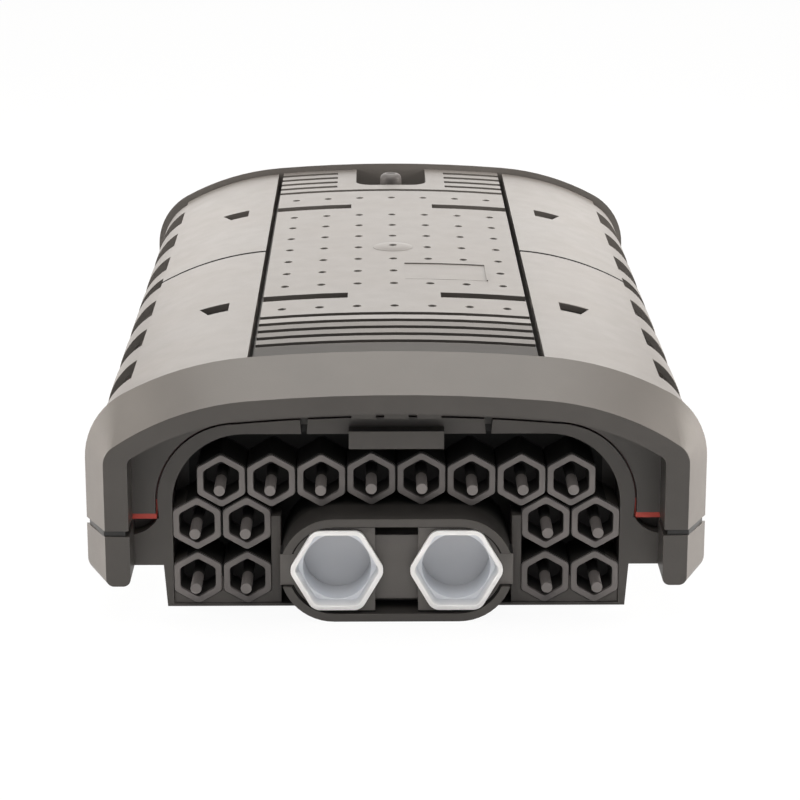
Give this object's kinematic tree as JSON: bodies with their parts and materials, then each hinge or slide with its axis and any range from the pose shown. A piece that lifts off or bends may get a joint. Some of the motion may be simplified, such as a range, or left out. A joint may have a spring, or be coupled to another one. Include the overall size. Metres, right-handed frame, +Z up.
{
  "type": "fibre splice closure",
  "caption": "Low arched fibre splice closure with a grooved cover panel, hinged side latches, hexagonal cable ports with blanking plugs and an oval port with clear caps.",
  "frame": {"origin": "middle of the bottom face, on the plane the closure rests on", "axes": "+Z up, the cable ports face -Y, +X to the right as seen from the ports"},
  "size_m": [0.2468, 0.424, 0.106],
  "materials": {
    "shell": "fine matt moulded texture",
    "latch": "fine matt moulded texture",
    "plug": "matt",
    "insert": "matt",
    "clear_cap": "frosted translucent",
    "gasket": "soft silicone",
    "seal": "soft",
    "valve": "matt",
    "steel": "drawn",
    "tray": "satin",
    "holder": "satin",
    "clear_lid": "clear"
  },
  "bodies": {
    "base": {"base_shell": "shell", "cable_anchor": "steel", "cover_shell": "shell", "gasket": "gasket", "hex_cap_left": "clear_cap", "hex_cap_right": "clear_cap", "hinge_rod_left": "steel", "hinge_rod_right": "steel", "organiser_plate": "tray", "oval_insert": "insert", "oval_seal": "seal", "port_plug_lower_13": "plug", "port_plug_lower_14": "plug", "port_plug_lower_15": "plug", "port_plug_lower_16": "plug", "port_plug_middle_09": "plug", "port_plug_middle_10": "plug", "port_plug_middle_11": "plug", "port_plug_middle_12": "plug", "port_plug_upper_01": "plug", "port_plug_upper_02": "plug", "port_plug_upper_03": "plug", "port_plug_upper_04": "plug", "port_plug_upper_05": "plug", "port_plug_upper_06": "plug", "port_plug_upper_07": "plug", "port_plug_upper_08": "plug", "splice_holder_1": "holder", "splice_holder_2": "holder", "splice_holder_3": "holder", "splice_holder_4": "holder", "splice_tray_1": "tray", "splice_tray_2": "tray", "splice_tray_3": "tray", "splice_tray_4": "tray", "tray_lid": "clear_lid", "tray_pin_1": "steel", "tray_pin_2": "steel", "tray_pin_3": "steel", "tray_pin_4": "steel", "valve_seal": "seal", "valve_stem": "valve"},
    "latch_front_left": {"latch_front_left": "latch"},
    "latch_front_right": {"latch_front_right": "latch"},
    "latch_rear_left": {"latch_rear_left": "latch"},
    "latch_rear_right": {"latch_rear_right": "latch"},
    "valve_cap": {"valve_cap": "valve"}
  },
  "joints": [
    {"name": "latch_front_left_hinge", "type": "hinge", "parent": "base", "child": "latch_front_left", "pos_m": [-0.1158, 0, 0.0422], "axis": [0, -1, 0], "range_deg": [0, 90]},
    {"name": "latch_front_right_hinge", "type": "hinge", "parent": "base", "child": "latch_front_right", "pos_m": [0.1158, 0, 0.0422], "axis": [0, 1, 0], "range_deg": [0, 90]},
    {"name": "latch_rear_left_hinge", "type": "hinge", "parent": "base", "child": "latch_rear_left", "pos_m": [-0.1158, 0, 0.0422], "axis": [0, -1, 0], "range_deg": [0, 90]},
    {"name": "latch_rear_right_hinge", "type": "hinge", "parent": "base", "child": "latch_rear_right", "pos_m": [0.1158, 0, 0.0422], "axis": [0, 1, 0], "range_deg": [0, 90]},
    {"name": "valve_cap_turn", "type": "hinge", "parent": "base", "child": "valve_cap", "pos_m": [0, 0.166, 0.098], "axis": [0, 0, 1], "continuous": true}
  ]
}
